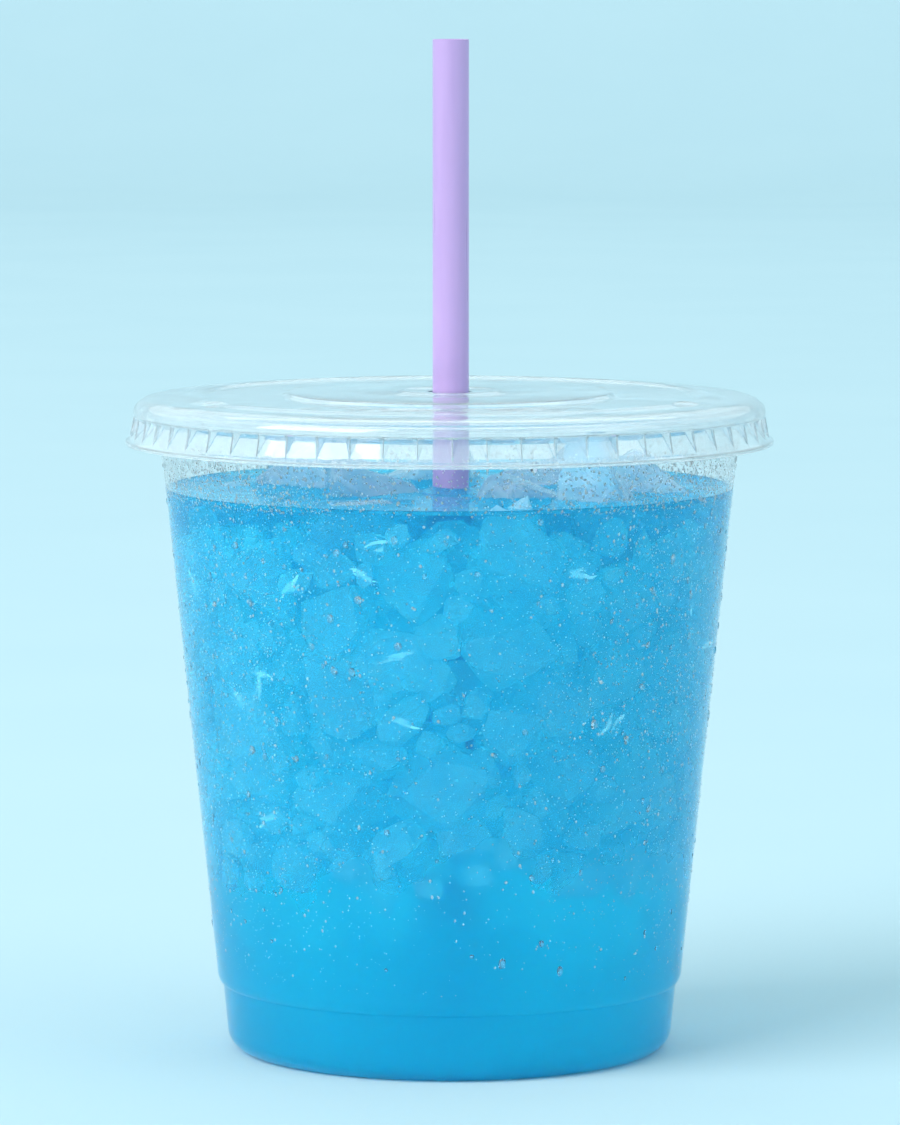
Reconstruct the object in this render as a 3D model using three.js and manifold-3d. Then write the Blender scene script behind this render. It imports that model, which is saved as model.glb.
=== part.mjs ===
// A blue raspberry lemonade: a clear thermoformed cup with a press-on flat lid, a drinking straw, the drink
// up to its level, and the ice that floats with its tops out of it. Millimetres, +Z up, origin at the
// middle of the foot, where the cup stands.
import * as THREE from "three";
import { mergeVertices } from "three/addons/utils/BufferGeometryUtils.js";
import Module from "manifold-3d";

const wasm = await Module();
wasm.setup();

// Driving dimensions.
const GAP = 0.3; // clearance between neighbouring pieces
const SIDES = 44; // facets round the cup and the drink

const CUP = {
  wall: 0.5,
  foot: 31.9, // radius where the flat foot ring turns into the corner
  corner: 3.3, // radius of that corner
  recess: 1.6, // how far the middle of the bottom is pushed up
  recessEdge: 27.5,
  ringEdge: 29.5,
  step: 10.55, // height of the stacking step
  stepRadius: 35.91,
  shoulder: 12.96, // height where the step has rounded out into the wall
  shoulderRadius: 36.84,
  draft: 0.10268, // growth of the wall's radius with height
  flare: 90, // height where the wall starts to open out towards the rim
  rim: 101, // height of the middle of the rolled rim
  rimRadius: 47.65,
  roll: 1.25, // outer radius of the roll
};

const LID = {
  skin: 0.4,
  hole: 3.5,
  plateau: 25.5, // the raised middle
  plateauTop: 104,
  deck: 103.3, // the flat ring round the plateau
  ridge: [38.3, 39.3, 41, 43.1], // inner foot, crest and outer foot of the stacking ridge
  ridgeTop: 103.7,
  ridgeGaps: [-30, 90, 210], // where the ridge is interrupted, in degrees
  gapHalf: 4,
  edge: 103.2,
  shoulder: 48,
  bead: 49.68, // the snap bead over the rolled rim
  beadTop: 101.5,
  beadFoot: 100.3,
  ribs: 60,
  ribPhase: 0.49, // degrees that the first rib stands off the front
  ribHalf: 0.92, // half the width of a rib at its top
  panel: 48.6, // radius of the flats between the ribs, at their top
  skirt: 50.3,
  skirtFoot: 97,
  flange: 51,
  flangeTop: 96.6,
  flangeFoot: 95.9,
};

const STRAW = { radius: 2.85, bore: 2.55, foot: 4.4, top: 159.2, x: 0.2, sides: 20 };

const LEVEL = 88.7; // height of the drink

// Each floating chunk: middle in plan, height of its highest point, half sizes, and turn in degrees.
const ICE = [
  { at: [-21.5, 7], peak: 92.1, half: [8.6, 7.2, 8.8], turn: [14, -22, 35] },
  { at: [-11.8, -9.5], peak: 92.2, half: [6.6, 6.2, 8], turn: [38, 33, 12] },
  { at: [-15, -29.5], peak: 90.1, half: [8, 6, 7.5], turn: [8, 6, 22] },
  { at: [8.8, -14.5], peak: 92.9, half: [6.8, 6.6, 9], turn: [12, 18, 8] },
  { at: [22.6, -21.5], peak: 92.5, half: [5.6, 5.2, 7.5], turn: [30, 24, 40] },
  { at: [30.5, -4], peak: 92.4, half: [7.4, 8, 8.4], turn: [16, -10, 20] },
  { at: [14.2, 9.8], peak: 91.6, half: [7.4, 7.8, 8.6], turn: [24, 12, 50] },
  { at: [-4.2, 19.5], peak: 91.9, half: [8.2, 7, 8.6], turn: [-18, 20, 15] },
  { at: [20.6, 25.6], peak: 91.3, half: [7.6, 7, 8], turn: [20, -24, 62] },
  { at: [-21.6, 25.6], peak: 91.2, half: [7.6, 7.2, 8.4], turn: [-12, 26, 28] },
];

const rad = THREE.MathUtils.degToRad;

// Points of an elliptical arc in the profile plane, from one angle to another in degrees.
function arc(r, z, across, up, from, to, steps) {
  return Array.from({ length: steps + 1 }, (_, i) => {
    const a = rad(from + ((to - from) * i) / steps);
    return new THREE.Vector2(r + across * Math.cos(a), z + up * Math.sin(a));
  });
}

function points(...pairs) {
  return pairs.map(([r, z]) => new THREE.Vector2(r, z));
}

// A profile of (radius, height) points turned round the vertical axis.
function turned(profile, sides) {
  return new THREE.LatheGeometry(profile, sides).rotateX(Math.PI / 2);
}

// A closed geometry as a solid that can be joined and cut.
function solid(geometry) {
  const bare = geometry.clone();
  bare.deleteAttribute("normal");
  bare.deleteAttribute("uv");
  const merged = mergeVertices(bare, 1e-4);
  return new wasm.Manifold(
    new wasm.Mesh({
      numProp: 3,
      vertProperties: merged.attributes.position.array,
      triVerts: new Uint32Array(merged.index.array),
    }),
  );
}

function geometryOf(made) {
  const mesh = made.getMesh();
  return new THREE.BufferGeometry()
    .setAttribute("position", new THREE.BufferAttribute(mesh.vertProperties, 3))
    .setIndex(new THREE.BufferAttribute(mesh.triVerts, 1));
}

// Outer radius of the tapered wall.
function wallRadius(z) {
  return CUP.shoulderRadius + CUP.draft * (z - CUP.shoulder);
}

// The cup's surface from the middle of its bottom up to the foot of the flare, moved inwards by inset.
function cupSide(inset, top) {
  const { foot, corner, step, stepRadius, shoulder, shoulderRadius } = CUP;
  return [
    ...points([0, CUP.recess + inset], [CUP.recessEdge - inset, CUP.recess + inset]),
    ...points([CUP.ringEdge - inset / 2, inset]),
    ...arc(foot, corner, corner - inset, corner - inset, -90, 0, 3),
    ...arc(stepRadius - inset, shoulder, shoulderRadius - stepRadius, shoulder - step, -90, 0, 2),
    ...points([wallRadius(top) - inset, top]),
  ];
}

function cup() {
  const { wall, rim, rimRadius, roll } = CUP;
  const outside = [
    ...cupSide(0, CUP.flare),
    ...arc(rimRadius, rim, roll - wall + 0.05, roll - wall + 0.05, 180, 0, 4),
  ];
  const overTheTop = arc(rimRadius, rim, roll, roll, 0, 180, 5);
  const inside = cupSide(wall, CUP.flare).reverse();
  return turned([...outside, ...overTheTop, ...inside], SIDES);
}

// The drink fills the cup to its level, round the ice and the straw, and stands inside the straw too.
function drink(ice) {
  const body = turned([...cupSide(CUP.wall + GAP, LEVEL), new THREE.Vector2(0, LEVEL)], SIDES);
  const above = LEVEL + 10;
  const sleeve = points(
    [STRAW.bore - GAP, STRAW.foot - GAP],
    [STRAW.radius + GAP, STRAW.foot - GAP],
    [STRAW.radius + GAP, above],
    [STRAW.bore - GAP, above],
    [STRAW.bore - GAP, STRAW.foot - GAP],
  );
  const left = [turned(sleeve, STRAW.sides).translate(STRAW.x, 0, 0), ...ice].map(solid);
  return geometryOf(left.reduce((rest, piece) => rest.subtract(piece), solid(body)));
}

function straw() {
  const tube = points(
    [STRAW.bore, STRAW.foot],
    [STRAW.radius, STRAW.foot],
    [STRAW.radius, STRAW.top],
    [STRAW.bore, STRAW.top],
    [STRAW.bore, STRAW.foot],
  );
  return turned(tube, STRAW.sides).translate(STRAW.x, 0, 0);
}

// A worn block of ice: a ball squared up towards a box, with one corner drawn out, then turned. grow
// makes it larger all round.
function chunk({ at, peak, half, turn }, grow) {
  const squareness = 0.62;
  const ball = new THREE.SphereGeometry(1, 10, 7);
  const place = ball.attributes.position;
  const spin = new THREE.Euler(...turn.map(rad));
  const p = new THREE.Vector3();
  let top = -Infinity;
  for (let i = 0; i < place.count; i++) {
    p.fromBufferAttribute(place, i);
    const drawn = 1 + 0.09 * Math.sin(2.1 * p.x + 1.3 * p.y) * Math.cos(1.7 * p.z);
    const side = ["x", "y", "z"].map(
      (axis, n) => Math.sign(p[axis]) * Math.abs(p[axis]) ** squareness * half[n] * drawn,
    );
    p.set(...side).applyEuler(spin);
    top = Math.max(top, p.z);
    p.addScaledVector(p.clone().normalize(), grow);
    place.setXYZ(i, p.x, p.y, p.z);
  }
  return ball.translate(at[0], at[1], peak - top);
}

// One ring of the lid: points of equal radius and height, one behind each rib, or, on a ribbed ring,
// three to a rib: its crest and both its feet, which stand at the radius of the flats.
function lidRing(radius, height, flats) {
  const pitch = 360 / LID.ribs;
  const ring = [];
  for (let k = 0; k < LID.ribs; k++) {
    const crest = k * pitch + LID.ribPhase;
    const raised = typeof height === "function" ? height(crest - 90) : height;
    ring.push({ angle: crest, radius, height: raised });
    if (!flats) continue;
    const spread = THREE.MathUtils.radToDeg(LID.ribHalf / radius);
    ring.push({ angle: crest + spread, radius: flats, height: raised });
    ring.push({ angle: crest + pitch - spread, radius: flats, height: raised });
  }
  return ring;
}

// The surface between closed rings, each joined to the next and the last to the first. Walks both rings
// of a pair together and always steps along the one that lags.
function ringSurface(rings) {
  const corners = [];
  const corner = (ring, i) => {
    const { angle, radius, height } = ring[i % ring.length];
    const a = rad(angle - 90);
    corners.push(radius * Math.cos(a), radius * Math.sin(a), height);
  };
  const angleAt = (ring, i) => ring[i % ring.length].angle + (i >= ring.length ? 360 : 0);
  rings.forEach((near, n) => {
    const far = rings[(n + 1) % rings.length];
    const nearFirst = near.length < far.length;
    let i = 0;
    let j = 0;
    while (i < near.length || j < far.length) {
      const lead = angleAt(near, i + 1) - angleAt(far, j + 1);
      const stepNear = j >= far.length || (i < near.length && (nearFirst ? lead <= 1e-9 : lead < -1e-9));
      if (stepNear) {
        corner(near, i + 1);
        corner(near, i++);
        corner(far, j);
      } else {
        corner(near, i);
        corner(far, j++);
        corner(far, j);
      }
    }
  });
  const flat = new THREE.BufferGeometry();
  return flat.setAttribute("position", new THREE.Float32BufferAttribute(corners, 3));
}

// Height of the stacking ridge's crest round the lid, which drops to the deck in each gap.
function ridgeHeight(azimuth) {
  const inGap = LID.ridgeGaps.some(
    (middle) => Math.abs(((azimuth - middle + 540) % 360) - 180) < LID.gapHalf,
  );
  return inGap ? LID.deck : LID.ridgeTop;
}

function lid() {
  const { skin, deck, ridge, bead, beadFoot, panel } = LID;
  const inner = bead - skin - 0.03;
  const outside = [
    lidRing(LID.hole, LID.plateauTop),
    lidRing(LID.plateau, LID.plateauTop),
    lidRing(LID.plateau + 0.8, deck),
    lidRing(ridge[0], deck),
    lidRing(ridge[1], ridgeHeight),
    lidRing(ridge[2], ridgeHeight),
    lidRing(ridge[3], LID.edge),
    lidRing(LID.shoulder - 0.8, LID.edge),
    lidRing(LID.shoulder + 0.5, LID.edge - 0.45),
    lidRing(bead, LID.beadTop),
    lidRing(bead, beadFoot + 0.05),
    lidRing(bead - 0.02, beadFoot, panel),
    lidRing(LID.skirt, LID.skirtFoot),
    lidRing(LID.flange, LID.flangeTop),
    lidRing(LID.flange, LID.flangeFoot),
  ];
  const inside = [
    lidRing(LID.skirt + 0.2, LID.flangeFoot),
    lidRing(LID.skirt - skin, LID.skirtFoot),
    lidRing(inner - 0.05, beadFoot + 0.25, panel - skin),
    lidRing(inner, beadFoot + skin),
    lidRing(inner, LID.beadTop - 0.1),
    lidRing(LID.shoulder, LID.edge - 0.45 - skin),
    lidRing(ridge[3], LID.edge - skin),
    lidRing(LID.plateau + 0.6, deck - skin),
    lidRing(LID.plateau - 0.2, LID.plateauTop - skin),
    lidRing(LID.hole, LID.plateauTop - skin),
  ];
  return ringSurface([...outside, ...inside]);
}

const clear = (color, opacity) =>
  new THREE.MeshStandardMaterial({ color, roughness: 0.08, metalness: 0, transparent: true, opacity });

const finishes = {
  cup: clear(0xe4f5fa, 0.35),
  lid: clear(0xeef8fb, 0.4),
  ice: clear(0xcfeef6, 0.55),
  drink: clear(0x07a4df, 0.9),
  straw: new THREE.MeshStandardMaterial({ color: 0xc3b1ed, roughness: 0.35, metalness: 0 }),
};

const lemonade = new THREE.Group();

function add(name, geometry, finish) {
  const piece = new THREE.Mesh(geometry, finish);
  piece.name = name;
  lemonade.add(piece);
}

add("cup", cup(), finishes.cup);
add("lid", lid(), finishes.lid);
add("straw", straw(), finishes.straw);
add("drink", drink(ICE.map((one) => chunk(one, GAP))), finishes.drink);
ICE.forEach((one, i) => add(`ice_${i + 1}`, chunk(one, 0), finishes.ice));

export default lemonade;
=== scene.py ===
"""A blue raspberry lemonade over ice, in a clear cup with a press-on lid and a lilac straw."""

import math

import bmesh
import bpy
import numpy as np
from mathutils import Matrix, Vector


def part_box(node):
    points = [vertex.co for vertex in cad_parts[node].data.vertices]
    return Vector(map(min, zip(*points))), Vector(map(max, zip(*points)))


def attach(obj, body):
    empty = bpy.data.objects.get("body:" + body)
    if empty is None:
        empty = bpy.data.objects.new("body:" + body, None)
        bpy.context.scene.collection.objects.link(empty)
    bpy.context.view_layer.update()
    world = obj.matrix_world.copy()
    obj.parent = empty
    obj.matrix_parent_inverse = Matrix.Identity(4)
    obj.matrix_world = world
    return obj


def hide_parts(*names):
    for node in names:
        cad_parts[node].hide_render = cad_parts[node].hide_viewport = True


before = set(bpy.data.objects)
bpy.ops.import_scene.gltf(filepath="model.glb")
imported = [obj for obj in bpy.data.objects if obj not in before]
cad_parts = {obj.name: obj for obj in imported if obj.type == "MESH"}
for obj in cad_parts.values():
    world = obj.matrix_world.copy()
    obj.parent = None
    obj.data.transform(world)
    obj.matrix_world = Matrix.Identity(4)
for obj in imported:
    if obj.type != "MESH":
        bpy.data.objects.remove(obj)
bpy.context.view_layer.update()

MM = 0.001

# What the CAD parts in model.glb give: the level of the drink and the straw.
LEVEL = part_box("drink")[1].z
STRAW_LOW, STRAW_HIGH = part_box("straw")


def mm(*pairs):
    """A list of (radius, height) points given in millimetres, in metres."""
    return [(r * MM, z * MM) for r, z in pairs]


def arc(r, z, across, up, start, end, steps):
    """Points in millimetres along an elliptical arc in the profile plane, angles in degrees."""
    turn = [math.radians(start + (end - start) * i / steps) for i in range(steps + 1)]
    return mm(*[(r + across * math.cos(a), z + up * math.sin(a)) for a in turn])


# ---------------------------------------------------------------- stage

ROOM_AIR = (0.66, 0.88, 0.95, 1.0)
CAMERA_AT, CAMERA_PITCH, CAMERA_LENS, SENSOR = (0.08 * MM, -0.996, 0.176), 5.68, 203.1, 36.0


def studio():
    """Pale floor that curves up all round, soft lights left, right and behind, and the camera."""
    flat, sweep, height = 3.2, 1.0, 1.25
    profile = [(0.0, 0.0), (flat, 0.0)]
    profile += [(flat + sweep * math.sin(a), sweep - sweep * math.cos(a))
                for a in np.linspace(0.1, math.pi / 2, 14)]
    profile.append((flat + sweep, height))
    floor = turned("studio_floor", profile, 128)
    floor.data.materials.append(paper())

    world = bpy.data.worlds.new("studio_air")
    world.use_nodes = True
    air = world.node_tree.nodes["Background"]
    air.inputs["Color"].default_value = ROOM_AIR
    air.inputs["Strength"].default_value = 1.05
    bpy.context.scene.world = world

    softbox("window_left", (-2.05, -1.55, 1.75), (2.4, 1.9), 80.0)
    softbox("wall_right", (2.3, -1.1, 1.3), (1.8, 1.8), 11.0)
    softbox("backdrop_light", (0.0, 2.3, 3.0), (4.0, 1.6), 26.0, aim=(0.0, 3.8, 0.1))

    lens = bpy.data.cameras.new("camera")
    lens.sensor_width = SENSOR
    lens.lens = CAMERA_LENS
    lens.clip_start, lens.clip_end = 0.05, 20.0
    camera = bpy.data.objects.new("camera", lens)
    camera.location = CAMERA_AT
    camera.rotation_euler = (math.radians(90.0 - CAMERA_PITCH), 0.0, 0.0)
    bpy.context.collection.objects.link(camera)
    bpy.context.scene.camera = camera
    bpy.context.scene.view_settings.view_transform = "Standard"
    light_paths()


def light_paths():
    """Light passes many skins of plastic, drink and ice before it gets out again. Blurring its
    reflections on the way would darken the drink."""
    paths = bpy.context.scene.cycles
    paths.max_bounces, paths.transmission_bounces = 28, 28
    paths.diffuse_bounces, paths.glossy_bounces = 5, 8
    paths.blur_glossy = 0.0
    paths.use_light_tree = False


def softbox(name, place, size, power, aim=(0.0, 0.0, 0.07)):
    """A rectangular light that faces the cup."""
    light = bpy.data.lights.new(name, "AREA")
    light.shape = "RECTANGLE"
    light.size, light.size_y = size
    light.energy = power
    box = bpy.data.objects.new(name, light)
    box.location = place
    box.rotation_euler = (Vector(aim) - Vector(place)).to_track_quat("-Z", "Y").to_euler()
    bpy.context.collection.objects.link(box)
    return box


# ---------------------------------------------------------------- mesh making

def piece_from(name, points, faces, crease=35.0):
    """An object from points and faces, smooth but for edges sharper than crease degrees."""
    mesh = bpy.data.meshes.new(name)
    mesh.from_pydata([tuple(p) for p in points], [], faces)
    mesh.validate()
    mesh.update()
    mesh.shade_smooth()
    mesh.set_sharp_from_angle(angle=math.radians(crease))
    made = bpy.data.objects.new(name, mesh)
    bpy.context.collection.objects.link(made)
    return made


def turned(name, profile, sides, closed=False, middle=(0.0, 0.0), crease=35.0):
    """A (radius, height) profile turned round an upright axis. Points on the axis become one vertex.
    A closed profile joins its last point to its first."""
    points, rows = [], []
    for r, z in profile:
        if r < 1e-7:
            rows.append([len(points)] * sides)
            points.append((middle[0], middle[1], z))
            continue
        rows.append(range(len(points), len(points) + sides))
        for k in range(sides):
            a = 2.0 * math.pi * k / sides
            points.append((middle[0] + r * math.cos(a), middle[1] + r * math.sin(a), z))
    return piece_from(name, points, band_faces(rows, closed), crease)


def band_faces(rows, closed):
    """The faces between rows of vertex numbers that each run once round the axis."""
    faces = []
    pairs = list(zip(rows, rows[1:])) + ([(rows[-1], rows[0])] if closed else [])
    for low, high in pairs:
        for k in range(len(low)):
            n = (k + 1) % len(low)
            corners = [low[k], low[n], high[n], high[k]]
            face = [c for i, c in enumerate(corners) if c not in corners[:i]]
            if len(face) > 2:
                faces.append(face)
    return faces


# ---------------------------------------------------------------- finishes

def finish(name):
    """A new material with its node tree and its Principled shader."""
    material = bpy.data.materials.new(name)
    material.use_nodes = True
    return material, material.node_tree, material.node_tree.nodes["Principled BSDF"]


def sum_node(tree, operation):
    made = tree.nodes.new("ShaderNodeMath")
    made.operation = operation
    return made


def uneven():
    """Node group shared by the finishes: a soft noise in the piece's own space. Spread is the size of
    its patches in metres, Drawn stretches them upwards. It puts out the bare noise as Patches, the same
    taken to run from Low to High, and a Normal that rises and falls by Depth metres."""
    made = bpy.data.node_groups.new("uneven", "ShaderNodeTree")
    wanted = (("Spread", 0.01), ("Drawn", 1.0), ("Low", 0.0), ("High", 1.0), ("Depth", 0.0))
    for name, value in wanted:
        socket = made.interface.new_socket(name, in_out="INPUT", socket_type="NodeSocketFloat")
        socket.default_value = value
    for name, kind in (("Patches", "Float"), ("Value", "Float"), ("Normal", "Vector")):
        made.interface.new_socket(name, in_out="OUTPUT", socket_type="NodeSocket" + kind)
    given, result = made.nodes.new("NodeGroupInput"), made.nodes.new("NodeGroupOutput")
    place = made.nodes.new("ShaderNodeTexCoord")
    shrink, draw = sum_node(made, "DIVIDE"), sum_node(made, "DIVIDE")
    shrink.inputs[0].default_value = 1.0
    draw.inputs[0].default_value = 1.0
    shape = made.nodes.new("ShaderNodeCombineXYZ")
    shape.inputs["X"].default_value = 1.0
    shape.inputs["Y"].default_value = 1.0
    drawn = made.nodes.new("ShaderNodeVectorMath")
    drawn.operation = "MULTIPLY"
    noise = made.nodes.new("ShaderNodeTexNoise")
    noise.inputs["Detail"].default_value = 2.0
    run = made.nodes.new("ShaderNodeMapRange")
    run.inputs["From Min"].default_value = 0.3
    run.inputs["From Max"].default_value = 0.7
    bump = made.nodes.new("ShaderNodeBump")
    made.links.new(given.outputs["Spread"], shrink.inputs[1])
    made.links.new(given.outputs["Drawn"], draw.inputs[1])
    made.links.new(draw.outputs["Value"], shape.inputs["Z"])
    made.links.new(place.outputs["Object"], drawn.inputs[0])
    made.links.new(shape.outputs["Vector"], drawn.inputs[1])
    made.links.new(drawn.outputs["Vector"], noise.inputs["Vector"])
    made.links.new(shrink.outputs["Value"], noise.inputs["Scale"])
    made.links.new(noise.outputs["Fac"], run.inputs["Value"])
    made.links.new(given.outputs["Low"], run.inputs["To Min"])
    made.links.new(given.outputs["High"], run.inputs["To Max"])
    made.links.new(noise.outputs["Fac"], bump.inputs["Height"])
    made.links.new(given.outputs["Depth"], bump.inputs["Distance"])
    made.links.new(noise.outputs["Fac"], result.inputs["Patches"])
    made.links.new(run.outputs["Result"], result.inputs["Value"])
    made.links.new(bump.outputs["Normal"], result.inputs["Normal"])
    return made


def patchy(tree, shader, spread, low, high, depth=0.0, drawn=1.0):
    """Place the uneven group in a material: roughness from low to high and a rise of depth metres."""
    group = tree.nodes.new("ShaderNodeGroup")
    group.node_tree = UNEVEN
    group.inputs["Spread"].default_value = spread
    group.inputs["Drawn"].default_value = drawn
    group.inputs["Low"].default_value = low
    group.inputs["High"].default_value = high
    group.inputs["Depth"].default_value = depth
    tree.links.new(group.outputs["Value"], shader.inputs["Roughness"])
    if depth:
        tree.links.new(group.outputs["Normal"], shader.inputs["Normal"])
    return group


def shades(tree, shader, group, dark, light):
    """Base color that runs between two shades with the patches of a placed group."""
    ramp = tree.nodes.new("ShaderNodeValToRGB")
    ends = ramp.color_ramp.elements
    ends[0].position, ends[0].color = 0.35, (*dark, 1.0)
    ends[1].position, ends[1].color = 0.65, (*light, 1.0)
    tree.links.new(group.outputs["Patches"], ramp.inputs["Fac"])
    tree.links.new(ramp.outputs["Color"], shader.inputs["Base Color"])


def glowing(shader, color, strength):
    """A small glow that stands for light which scatters many times over."""
    shader.inputs["Emission Color"].default_value = (*color, 1.0)
    shader.inputs["Emission Strength"].default_value = strength


def paper():
    """Matt pale blue paper."""
    material, tree, shader = finish("studio_paper")
    shader.inputs["Specular IOR Level"].default_value = 0.0
    grain = patchy(tree, shader, 0.12, 0.85, 0.95)
    shades(tree, shader, grain, (0.513, 0.656, 0.700), (0.523, 0.664, 0.706))
    return material


def clear_plastic(name, ior, clarity, low, high, spread, depth):
    """Clear moulded plastic whose skin is a little wavy."""
    material, tree, shader = finish(name)
    shader.inputs["IOR"].default_value = ior
    shader.inputs["Transmission Weight"].default_value = clarity
    waves = patchy(tree, shader, spread, low, high, depth)
    shades(tree, shader, waves, (0.985, 0.995, 1.0), (1.0, 1.0, 1.0))
    return material


def cloudier_low_down(tree, shader, group):
    """Roughness of a group's value plus a share that grows below the ice, where the juice settles.
    The group's patches, times a wander in metres, move where it starts."""
    rough_under, clear_over, wander = 4.0 * MM, 20.0 * MM, -32.0 * MM
    place = tree.nodes.new("ShaderNodeTexCoord")
    split = tree.nodes.new("ShaderNodeSeparateXYZ")
    low = tree.nodes.new("ShaderNodeMapRange")
    low.inputs["From Min"].default_value = rough_under
    low.inputs["From Max"].default_value = clear_over
    low.inputs["To Min"].default_value = 0.8
    low.inputs["To Max"].default_value = 0.1
    add, lift = sum_node(tree, "ADD"), sum_node(tree, "MULTIPLY_ADD")
    lift.inputs[1].default_value = wander
    tree.links.new(place.outputs["Object"], split.inputs["Vector"])
    tree.links.new(group.outputs["Patches"], lift.inputs[0])
    tree.links.new(split.outputs["Z"], lift.inputs[2])
    tree.links.new(lift.outputs["Value"], low.inputs["Value"])
    tree.links.new(low.outputs["Result"], add.inputs[0])
    tree.links.new(group.outputs["Value"], add.inputs[1])
    tree.links.new(add.outputs["Value"], shader.inputs["Roughness"])


def blue_lemonade():
    """The dye takes nearly all the red, some green and little blue. The juice makes it cloudy: part
    of the light is turned back right at its skin."""
    material, tree, shader = finish("blue_lemonade")
    shader.inputs["IOR"].default_value = 1.335
    shader.inputs["Transmission Weight"].default_value = 1.0
    swirl = patchy(tree, shader, 0.012, 0.0, 0.04)
    shades(tree, shader, swirl, (0.34, 0.92, 0.99), (0.36, 0.93, 0.99))
    cloudier_low_down(tree, shader, swirl)
    skin = tree.nodes.new("ShaderNodeBsdfPrincipled")
    skin.inputs["Specular IOR Level"].default_value = 0.0
    haze = patchy(tree, skin, 0.018, 0.95, 1.0)
    shades(tree, skin, haze, (0.0, 0.555, 0.88), (0.0, 0.60, 0.92))
    blend = tree.nodes.new("ShaderNodeMixShader")
    blend.inputs["Fac"].default_value = 0.32
    tree.links.new(shader.outputs["BSDF"], blend.inputs[1])
    tree.links.new(skin.outputs["BSDF"], blend.inputs[2])
    tree.links.new(blend.outputs["Shader"], tree.nodes["Material Output"].inputs["Surface"])
    dye = tree.nodes.new("ShaderNodeVolumeAbsorption")
    dye.inputs["Color"].default_value = (0.04, 0.965, 0.998, 1.0)
    dye.inputs["Density"].default_value = 70.0
    tree.links.new(dye.outputs["Volume"], tree.nodes["Material Output"].inputs["Volume"])
    return material


def wet_ice(name, ior, clarity, spread=0.004, depth=0.0, glow=0.0):
    """Wet ice, clear but for patches of frost. Glow adds a painted cyan glow that lightens it and stands
    for light scattered in the drink.
    """
    material, tree, shader = finish(name)
    shader.inputs["IOR"].default_value = ior
    shader.inputs["Transmission Weight"].default_value = clarity
    frost = patchy(tree, shader, spread, 0.04, 0.3, depth)
    shades(tree, shader, frost, (0.66, 0.92, 1.0), (0.92, 0.98, 1.0))
    glowing(shader, (0.06, 0.78, 1.0), glow)
    return material


def frosted_split_painted_glint():
    """A split in the ice, frosted white, with a painted glow of its own: a painted glint that stands in
    for light sent back off the split.
    """
    material, tree, shader = finish("frosted_split_painted_glint")
    frost = patchy(tree, shader, 0.0012, 0.2, 0.5)
    shades(tree, shader, frost, (0.85, 0.97, 1.0), (1.0, 1.0, 1.0))
    glowing(shader, (0.85, 0.97, 1.0), 0.35)
    return material


def water(name, clarity, low, high, glow):
    """Drops of water. Fine ones are rough and scatter the light, large ones are clear. Glow adds a painted
    glow that lightens them.
    """
    material, tree, shader = finish(name)
    shader.inputs["IOR"].default_value = 1.33
    shader.inputs["Transmission Weight"].default_value = clarity
    film = patchy(tree, shader, 0.003, low, high)
    shades(tree, shader, film, (0.95, 0.99, 1.0), (1.0, 1.0, 1.0))
    glowing(shader, (0.75, 0.93, 1.0), glow)
    return material


def lilac_plastic():
    """Satin plastic with fine streaks along the straw."""
    material, tree, shader = finish("lilac_plastic")
    streaks = patchy(tree, shader, 0.002, 0.26, 0.38, 0.00002, 14.0)
    shades(tree, shader, streaks, (0.515, 0.322, 0.60), (0.54, 0.338, 0.62))
    return material


# ---------------------------------------------------------------- cup

ROUND = 240
CUP_WALL = 0.42
FOOT, CORNER, STEP, STEP_RADIUS = 31.9, 3.3, 10.55, 35.91
SHOULDER, SHOULDER_RADIUS, DRAFT, FLARE = 12.96, 36.84, 0.10268, 90.0
ROLL_MIDDLE, ROLL_HEIGHT, ROLL = 47.65, 101.0, 1.25


def wall_radius(z):
    """Outer radius of the tapered wall, in millimetres, and of its flare under the rim."""
    flare = 0.0092 * max(0.0, z - FLARE) ** 2
    return SHOULDER_RADIUS + DRAFT * (z - SHOULDER) + flare


def cup_side(inset, top, rows=24):
    """The cup's surface from the middle of the bottom up its wall, moved inwards by inset."""
    bottom = mm((0, 1.6 + inset), (27.5 - inset, 1.6 + inset))
    bottom += arc(27.5 - inset, 0.8 + inset, 0.8, 0.8, 90, 20, 4)[1:]
    bottom += mm((29.5 - inset * 0.5, inset))
    corner = arc(FOOT, CORNER, CORNER - inset, CORNER - inset, -90, 0, 10)
    step = arc(STEP_RADIUS - inset, SHOULDER, SHOULDER_RADIUS - STEP_RADIUS, SHOULDER - STEP, -90, 0, 8)
    wall = mm(*[(wall_radius(z) - inset, z) for z in np.linspace(SHOULDER, top, rows)[1:]])
    return bottom + corner + step + wall


def cup():
    """Thermoformed cup: raised bottom, stacking step, tapered wall, and a rim rolled outwards."""
    inner_roll = ROLL - CUP_WALL
    outside = cup_side(0.0, 99.2) + arc(ROLL_MIDDLE, ROLL_HEIGHT, inner_roll, inner_roll, 180, 0, 14)
    over = arc(ROLL_MIDDLE, ROLL_HEIGHT, ROLL, ROLL, 0, 180, 20)
    inside = cup_side(CUP_WALL, 99.2)[::-1]
    made = turned("cup_body", outside + over + inside, ROUND)
    made.data.materials.append(clear_plastic("cup_plastic", 1.25, 1.0, 0.01, 0.03, 0.02, 0.0))
    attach(made, "root")
    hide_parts("cup")


# ---------------------------------------------------------------- lid

RIBS, RIB_PHASE, RIB_HALF = 60, 0.49, 0.92
RIDGE, PLATE, GAPS, GAP_HALF = (37.8, 43.3), (103.3, 103.2), (-30.0, 90.0, 210.0), 3.6
BEAD, BEAD_FOOT, PANEL, SKIRT, SKIRT_FOOT = 49.68, 100.3, 48.6, 50.3, 97.0
LID_SKIN = 0.35


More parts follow.
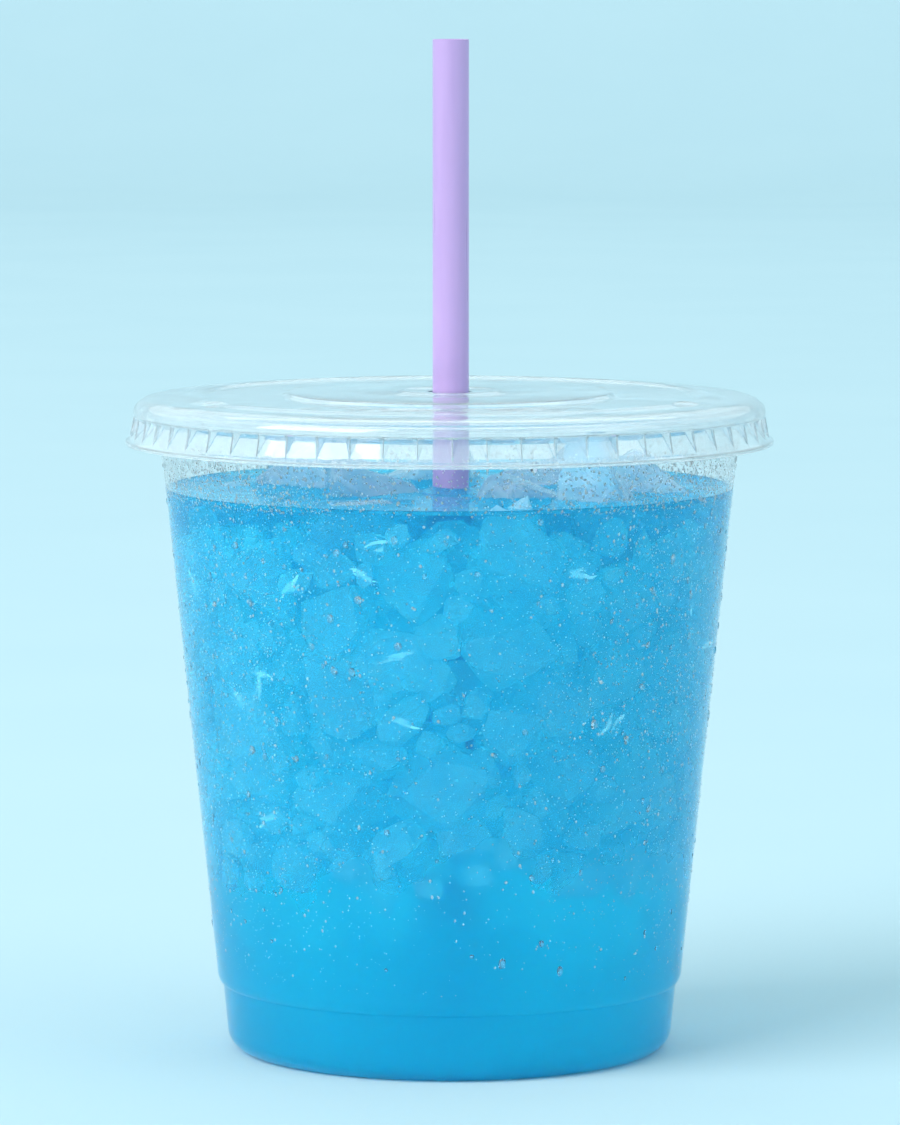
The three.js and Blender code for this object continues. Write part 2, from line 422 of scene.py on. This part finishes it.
def rib_columns(half):
    """Offsets along one rib's pitch, in parts of it, with how much each stands out from the flats:
    the crest, its two slopes and the flat to the next rib."""
    pitch = 2.0 * math.pi * BEAD / RIBS
    w = max(half, 0.03) / pitch
    flats = [w + (1.0 - 2.0 * w) * i / 5.0 for i in range(1, 5)]
    offsets = [0.0, w * 0.45, w, *flats, 1.0 - w, 1.0 - w * 0.45]
    return list(zip(offsets, [1.0, 0.5, 0.0, 0.0, 0.0, 0.0, 0.0, 0.0, 0.5]))


def lid_profile():
    """Rows of the lid's section as (radius, height, radius at a rib's crest, half width of a rib)."""
    plain = []

    def rows(points):
        plain.extend([(r, z, r, RIB_HALF) for r, z in points])

    rows([(3.45, 103.9), (3.6, 104.0)])
    rows([(6.9, 104.0), (7.3, 104.18), (7.7, 104.25), (8.1, 104.18), (8.5, 104.0)])
    rows([(16.0, 104.0), (25.0, 104.0), (25.5, 103.92), (25.9, 103.6), (26.3, 103.36), (26.8, 103.3)])
    rows([(32.0, 103.3), (37.8, 103.3), (38.3, 103.33), (38.8, 103.5), (39.3, 103.66), (39.8, 103.7)])
    rows([(40.6, 103.7), (41.1, 103.66), (42.0, 103.45), (42.8, 103.26), (43.3, 103.2)])
    rows([(45.0, 103.2), (46.8, 103.2), (47.4, 103.15), (48.0, 103.0), (48.6, 102.7), (49.1, 102.3)])
    rows([(49.45, 101.85), (49.63, 101.4), (BEAD, 100.9), (BEAD, 100.45), (BEAD - 0.05, BEAD_FOOT)])
    for i in range(9):
        t = i / 8.0
        z = BEAD_FOOT - 0.06 + (SKIRT_FOOT - BEAD_FOOT + 0.06) * t
        flat = PANEL + (SKIRT - PANEL) * t
        crest = BEAD - 0.03 + (SKIRT - BEAD + 0.03) * t
        plain.append((flat, z, crest, RIB_HALF * (1.0 - t)))
    low = [(50.5, 96.75), (50.8, 96.62), (50.97, 96.45), (51.0, 96.2), (50.93, 96.0), (50.75, 95.9)]
    plain.extend([(r, z, r, 0.0) for r, z in low])
    return plain


def gap(r, z, a):
    """Height of the lid at (r, z), where the stacking ridge is cut by its gaps."""
    if not RIDGE[0] < r < RIDGE[1]:
        return z
    away = min(abs((math.degrees(a) - middle + 180.0) % 360.0 - 180.0) for middle in GAPS)
    cut = min(1.0, max(0.0, (GAP_HALF + 0.7 - away) / 1.4))
    plate = PLATE[0] + (PLATE[1] - PLATE[0]) * (r - RIDGE[0]) / (RIDGE[1] - RIDGE[0])
    return z + (min(z, plate) - z) * cut * cut * (3.0 - 2.0 * cut)


def lid():
    """Thermoformed press-on lid: raised middle, stacking ridge, bead, ribbed skirt and flange."""
    outer = lid_profile()
    sections = np.array(outer)
    tangent = np.gradient(sections[:, :2], axis=0)
    tangent /= np.linalg.norm(tangent, axis=1)[:, None]
    inwards = np.stack([-tangent[:, 1], tangent[:, 0]], 1) * -LID_SKIN
    inner = sections.copy()
    inner[:, :2] += inwards
    inner[:, 2] += inwards[:, 0]
    points, rows = [], []
    for drop, section in [(0.0, row) for row in sections] + [(LID_SKIN, row) for row in inner[::-1]]:
        flat, z, crest, half = section
        rows.append(range(len(points), len(points) + RIBS * 9))
        for k in range(RIBS):
            for offset, stand in rib_columns(half):
                a = 2.0 * math.pi * (k + offset) / RIBS + math.radians(RIB_PHASE - 90.0)
                r = (flat + (crest - flat) * stand) * MM
                height = gap(r / MM, z + drop, a) - drop
                points.append((r * math.cos(a), r * math.sin(a), height * MM))
    made = piece_from("lid_shell", points, band_faces(rows[::-1], True), 30.0)
    made.data.materials.append(clear_plastic("lid_plastic", 1.5, 0.82, 0.02, 0.06, 0.012, 0.0002))
    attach(made, "root")
    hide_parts("lid")


# ---------------------------------------------------------------- straw

def straw():
    """A straight tube with softly rounded cut ends."""
    middle = (STRAW_LOW + STRAW_HIGH) / 2.0
    outer = (STRAW_HIGH.x - STRAW_LOW.x) / 2.0
    bore = outer - 0.28 * MM
    low, high, lip = STRAW_LOW.z, STRAW_HIGH.z, 0.07 * MM
    profile = [(bore, low + lip), (bore + lip, low), (outer - lip, low), (outer, low + lip)]
    profile += [(outer, z) for z in np.linspace(low + lip, high - lip, 40)[1:]]
    profile += [(outer - lip, high), (bore + lip, high), (bore, high - lip)]
    made = turned("straw_tube", profile, 64, closed=True, middle=(middle.x, middle.y))
    made.data.materials.append(lilac_plastic())
    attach(made, "root")
    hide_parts("straw")


# ---------------------------------------------------------------- ice

FLOATING = sorted(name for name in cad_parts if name.startswith("ice_"))
SURFACE = LEVEL / MM - 0.5
CLIMB, CLIMB_SPREAD = 0.9, 1.3


def ball(level):
    """Directions and faces of a round mesh of even triangles."""
    made = bmesh.new()
    bmesh.ops.create_icosphere(made, subdivisions=level, radius=1.0)
    directions = np.array([v.co[:] for v in made.verts])
    faces = [[v.index for v in f.verts] for f in made.faces]
    made.free()
    return directions, faces


def reach(directions, normals, depths, crisp=17.0):
    """How far a chunk reaches from its middle in each direction: flat faces at their depths along
    their normals, with rounded edges where they meet."""
    lean = np.maximum(directions @ normals.T, 0.0) / depths
    return (lean ** crisp).sum(axis=1) ** (-1.0 / crisp)


def unit(vectors):
    return vectors / np.linalg.norm(vectors, axis=-1, keepdims=True)


def any_turn(rng):
    """A random rotation as a matrix."""
    q, r = np.linalg.qr(rng.normal(size=(3, 3)))
    return q * np.sign(np.diag(r))


def broken_cube(rng, half):
    """Face normals and depths of a piece broken off a cube: sides out of square, corners knocked off."""
    sides = np.vstack([np.eye(3), -np.eye(3)]) + rng.normal(0.0, 0.28, (6, 3))
    chips = rng.normal(size=(8, 3))
    normals = unit(np.vstack([sides, chips]))
    depths = np.abs(normals) @ (half * rng.uniform(0.6, 1.25, 3))
    depths[:6] *= rng.uniform(0.75, 1.0, 6)
    depths[6:] *= rng.uniform(0.5, 0.78, 8)
    return normals @ any_turn(rng).T, depths


def floating_shape(node, rng):
    """Middle, face normals and depths of a chunk that fits in its CAD solid, in millimetres."""
    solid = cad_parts[node]
    corners = np.array([solid.matrix_world @ v.co for v in solid.data.vertices]) / MM
    middle = (corners.min(axis=0) + corners.max(axis=0)) / 2.0
    normals = unit(np.vstack([ball(1)[0], ball(1)[0]]) + rng.normal(0.0, 0.35, (24, 3)))[:17]
    depths = ((corners - middle) @ normals.T).max(axis=0) * rng.uniform(0.84, 0.98, 17)
    return middle, normals, depths


def chunk(shape, grow, level=4, crisp=17.0):
    """Points and faces of one chunk, grown or shrunk by so many millimetres."""
    middle, normals, depths = shape
    directions, faces = ball(level)
    points = middle + directions * (reach(directions, normals, depths, crisp) + grow)[:, None]
    room = np.array([wall_radius(z) for z in points[:, 2]]) - CUP_WALL - 0.25
    points[:, :2] *= np.minimum(1.0, room / np.hypot(points[:, 0], points[:, 1]))[:, None]
    return points, faces


def joined(name, parts, crease=180.0):
    """One piece from many (points, faces) parts in millimetres."""
    points, faces, count = [], [], 0
    for part_points, part_faces in parts:
        points.append(part_points)
        faces.extend([[i + count for i in face] for face in part_faces])
        count += len(part_points)
    return piece_from(name, np.vstack(points) * MM, faces, crease)


def floating_ice(shapes, finish_of_ice):
    """One piece for each chunk that stands out of the drink."""
    for node, shape in shapes.items():
        made = joined("floating_" + node, [chunk(shape, 0.02, 5)])
        made.data.materials.append(finish_of_ice)
        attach(made, "root")
        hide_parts(node)


SUNK_TRIES, SUNK_LEAST, SUNK_MORE, SUNK_LOW, SUNK_BAND = 9000, 2.0, 4.2, 25.0, 15.0
SUNK_CLOSE, SPLIT_LOW, SPLIT_DEPTH = 0.88, 40.0, 7.0


def sunk_places(rng, floating):
    """Middles and half sizes of the pieces under the surface, packed at random, largest first. They lie
    in a band next to the wall, which hides the middle of the cup, and thin out low down."""
    taken = [(shape[0], shape[2].mean()) for shape in floating.values()]
    placed = []
    for size in np.sort(SUNK_LEAST + SUNK_MORE * rng.uniform(size=SUNK_TRIES) ** 2.2)[::-1]:
        z = rng.uniform(SUNK_LOW, 87.0 - size)
        room = wall_radius(z) - CUP_WALL - size * 0.8
        r = room - SUNK_BAND * rng.uniform() ** 1.6
        a = rng.uniform(0.0, 2.0 * math.pi)
        at = np.array([r * math.cos(a), r * math.sin(a), z])
        if z < 24.0 + size * 3.2 * rng.uniform(0.6, 1.3):
            continue
        clear = all(np.linalg.norm(at - other) > (size + far) * SUNK_CLOSE for other, far in taken)
        if clear:
            taken.append((at, size))
            placed.append((at, size))
    return placed


def sunk_ice(places, rng):
    """Broken ice at the given places. Larger pieces have a finer mesh."""
    parts = []
    for at, size in places:
        level = 2 + (size > 3.0) + (size > 5.4)
        parts.append(chunk((at, *broken_cube(rng, np.full(3, size * 0.98))), 0.0, level, 34.0))
    made = joined("sunk_ice", parts, 16.0)
    # The sunk ice gets a faint painted cyan glow (glow=0.022).
    made.data.materials.append(wet_ice("sunk_ice", 1.04, 0.66, glow=0.022))
    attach(made, "root")


def slivers(places, rng, share):
    """Thin frosted splits in the ice that lies against the wall, a few narrow ones side by side. Their
    finish glows, so they show as painted glints.
    """
    directions, faces = ball(3)
    parts = []
    for at, size in places:
        depth = wall_radius(at[2]) - math.hypot(at[0], at[1])
        if depth > SPLIT_DEPTH or at[2] < SPLIT_LOW or rng.uniform() > share:
            continue
        out = np.array([at[0], at[1], 0.0]) / math.hypot(at[0], at[1])
        facing = unit(out + rng.normal(0.0, 0.3, 3))
        along = unit(np.cross(facing, unit(rng.normal(size=3))))
        turn = np.stack([along, np.cross(facing, along), facing])
        middle = at + out * (depth - CUP_WALL - 0.7 - 0.7 * rng.uniform())
        for _ in range(rng.integers(2, 6)):
            long = rng.uniform(0.5, 2.9)
            width = rng.uniform(0.1, 0.34)
            points = directions * (long, width, 0.05)
            points[:, 1] *= 1.0 - 0.8 * directions[:, 0] * rng.uniform(0.2, 1.0)
            waves, start = rng.uniform(1.5, 4.0), rng.uniform(0.0, 6.0)
            points[:, 1] += 0.1 * long * np.sin(directions[:, 0] * waves + start)
            points += rng.normal(0.0, 1.0, 3) * (0.8, 0.5, 0.08)
            points = points @ turn + middle
            room = np.array([wall_radius(z) for z in points[:, 2]]) - CUP_WALL - 0.3
            points[:, :2] *= np.minimum(1.0, room / np.hypot(points[:, 0], points[:, 1]))[:, None]
            parts.append((points, faces))
    made = joined("ice_splits", parts)
    made.data.materials.append(frosted_split_painted_glint())
    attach(made, "root")


def bubbles(rng, count):
    """Small round bubbles under the skin of the drink, most of them high up among the ice."""
    directions, faces = ball(2)
    parts = []
    for radius in 0.1 + 0.22 * rng.uniform(size=count) ** 3.0:
        z = 86.0 - 68.0 * rng.uniform() ** 1.5
        r = wall_radius(z) - CUP_WALL - radius - 0.15 - 5.0 * rng.uniform() ** 2.0
        a = rng.uniform(0.0, 2.0 * math.pi)
        parts.append((directions * radius + (r * math.cos(a), r * math.sin(a), z), faces))
    made = joined("bubbles", parts)
    made.data.materials.append(wet_ice("bubbles", 1.2, 0.5, 0.001))
    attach(made, "root")


# ---------------------------------------------------------------- drink

def surface_height(x, y, floating, edge):
    """Height of the liquid: level, but for where it climbs the wall, the straw and the ice."""
    straw_x = (STRAW_LOW.x + STRAW_HIGH.x) / 2.0 / MM
    straw_radius = (STRAW_HIGH.x - STRAW_LOW.x) / 2.0 / MM
    away = np.minimum(edge - np.hypot(x, y), np.abs(np.hypot(x - straw_x, y) - straw_radius))
    for middle, normals, depths in floating.values():
        out = np.stack([x, y, np.full_like(x, SURFACE)], axis=-1) - middle
        length = np.linalg.norm(out, axis=-1)
        away = np.minimum(away, np.abs(length - reach(unit(out), normals, depths)))
    return SURFACE + CLIMB * np.exp(-away / CLIMB_SPREAD)


def drink(floating):
    """The liquid reaches just into the wall. It climbs a little wherever it meets something, and has
    a pocket for each floating chunk."""
    into = CUP_WALL * 0.5
    turn = np.arange(ROUND) * 2.0 * math.pi / ROUND
    edge = wall_radius(SURFACE + CLIMB) - into
    points = [(r * math.cos(a), r * math.sin(a), z)
              for r, z in np.array(cup_side(into, SURFACE + CLIMB, rows=50)[1:]) / MM
              for a in turn]
    rings = np.concatenate([np.linspace(edge - 5.0, edge, 12)[:-1][::-1],
                            np.arange(edge - 5.8, 0.5, -0.8)])
    for r in rings:
        x, y = r * np.cos(turn), r * np.sin(turn)
        points.extend(zip(x, y, surface_height(x, y, floating, edge)))
    rows = [range(start, start + ROUND) for start in range(0, len(points), ROUND)]
    points.append((0.0, 0.0, SURFACE))
    points.append((0.0, 0.0, cup_side(into, SURFACE)[0][1] / MM))
    rows = [[len(points) - 1] * ROUND, *rows, [len(points) - 2] * ROUND]
    made = piece_from("drink_body", np.array(points) * MM, band_faces(rows, False), 40.0)
    cutter = joined("pockets", [chunk(shape, -0.03, 4) for shape in floating.values()])
    cut = made.modifiers.new("pockets", "BOOLEAN")
    cut.operation, cut.solver, cut.object = "DIFFERENCE", "MANIFOLD", cutter
    bpy.context.view_layer.update()
    shown = made.evaluated_get(bpy.context.evaluated_depsgraph_get())
    made.data = bpy.data.meshes.new_from_object(shown)
    made.modifiers.clear()
    bpy.data.objects.remove(cutter)
    made.data.materials.clear()
    made.data.materials.append(blue_lemonade())
    made.data.shade_smooth()
    made.data.set_sharp_from_angle(angle=math.radians(40.0))
    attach(made, "root")
    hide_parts("drink")


# ---------------------------------------------------------------- condensation

def condensation(name, rng, count, least, most, sides, steps, low, drops):
    """Domes of water on the outside of the wall above a height, closer together at the sides than in
    front and sparser low down. Larger ones hang longer than they are wide."""
    angle, height = [], []
    while len(angle) < count:
        a, z, chance = rng.uniform(0.0, 2.0 * math.pi), rng.uniform(low, 97.0), rng.uniform()
        front = max(0.0, -math.sin(a)) ** 5
        want = (1.0 - 0.75 * front) * min(1.0, 0.12 + 0.88 * (z - 13.0) / 45.0)
        if chance < want:
            angle.append(a)
            height.append(z)
    angle, height = np.array(angle), np.array(height)
    radius = least + (most - least) * rng.uniform(size=count) ** 2.6
    tall = 1.0 + rng.uniform(0.0, 0.45, count) * radius / most
    wall = np.array([wall_radius(z) for z in height])
    lean = math.atan(DRAFT)
    out = np.stack([np.cos(angle) * math.cos(lean), np.sin(angle) * math.cos(lean),
                    np.full(count, -math.sin(lean))], axis=1)
    up = np.stack([np.cos(angle) * math.sin(lean), np.sin(angle) * math.sin(lean),
                   np.full(count, math.cos(lean))], axis=1)
    across = np.cross(up, out)
    at = np.stack([wall * np.cos(angle), wall * np.sin(angle), height], axis=1)
    turn = np.arange(sides) * 2.0 * math.pi / sides
    turns = np.linspace(0.0, math.pi / 2, steps + 1)[1:-1]
    rows = [(1.0, -1.0)] + [(math.cos(t), math.sin(t)) for t in turns]
    points, rise = [], 0.32 * radius * rng.uniform(0.8, 1.15, count)
    for share, lift in rows:
        ring = (share * radius)[:, None, None]
        wobble = 1.0 + 0.12 * np.sin(turn[None, :] * 2.0 + rng.uniform(0.0, 6.3, (count, 1)))
        side = np.cos(turn)[None, :, None] * across[:, None, :]
        climb = np.sin(turn)[None, :, None] * up[:, None, :] * tall[:, None, None]
        level = (lift * rise if lift > 0 else np.full(count, -0.03))[:, None, None]
        points.append(at[:, None, :] + ring * wobble[..., None] * (side + climb) + level * out[:, None, :])
    tip = at + rise[:, None] * out
    each = len(rows) * sides + 1
    stacked = np.concatenate([np.concatenate(points, axis=1), tip[:, None, :]], axis=1)
    faces = [list(range(sides))[::-1]]
    for i in range(len(rows) - 1):
        for k in range(sides):
            n = (k + 1) % sides
            faces.append([i * sides + k, i * sides + n, (i + 1) * sides + n, (i + 1) * sides + k])
    last = (len(rows) - 1) * sides
    faces += [[last + k, last + (k + 1) % sides, each - 1] for k in range(sides)]
    every = [[i + each * n for i in face] for n in range(count) for face in faces]
    made = piece_from(name, stacked.reshape(-1, 3) * MM, every, 180.0)
    made.data.materials.append(drops)
    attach(made, "root")


UNEVEN = uneven()
studio()
cup()
lid()
straw()
seeded = np.random.default_rng(7)
floating_shapes = {node: floating_shape(node, seeded) for node in FLOATING}
drink(floating_shapes)
# The floating ice gets a faint painted cyan glow (the last number).
floating_ice(floating_shapes, wet_ice("floating_ice", 1.31, 0.7, 0.004, 0.0004, 0.02))
sunk = sunk_places(seeded, floating_shapes)
sunk_ice(sunk, seeded)
slivers(sunk, seeded, 0.13)
bubbles(seeded, 700)
# The fine drops get a faint painted glow (the last number) that lightens them.
fine_drops = water("fine_drops", 0.8, 0.29, 0.4, 0.05)
clear_drops = water("clear_drops", 0.94, 0.0, 0.03, 0.0)
condensation("mist", seeded, 21000, 0.06, 0.14, 5, 1, 13.6, fine_drops)
condensation("fog", seeded, 7500, 0.1, 0.24, 5, 1, 88.0, fine_drops)
condensation("dew", seeded, 6000, 0.09, 0.26, 6, 2, 13.6, fine_drops)
condensation("beads", seeded, 420, 0.28, 0.62, 12, 4, 13.6, clear_drops)
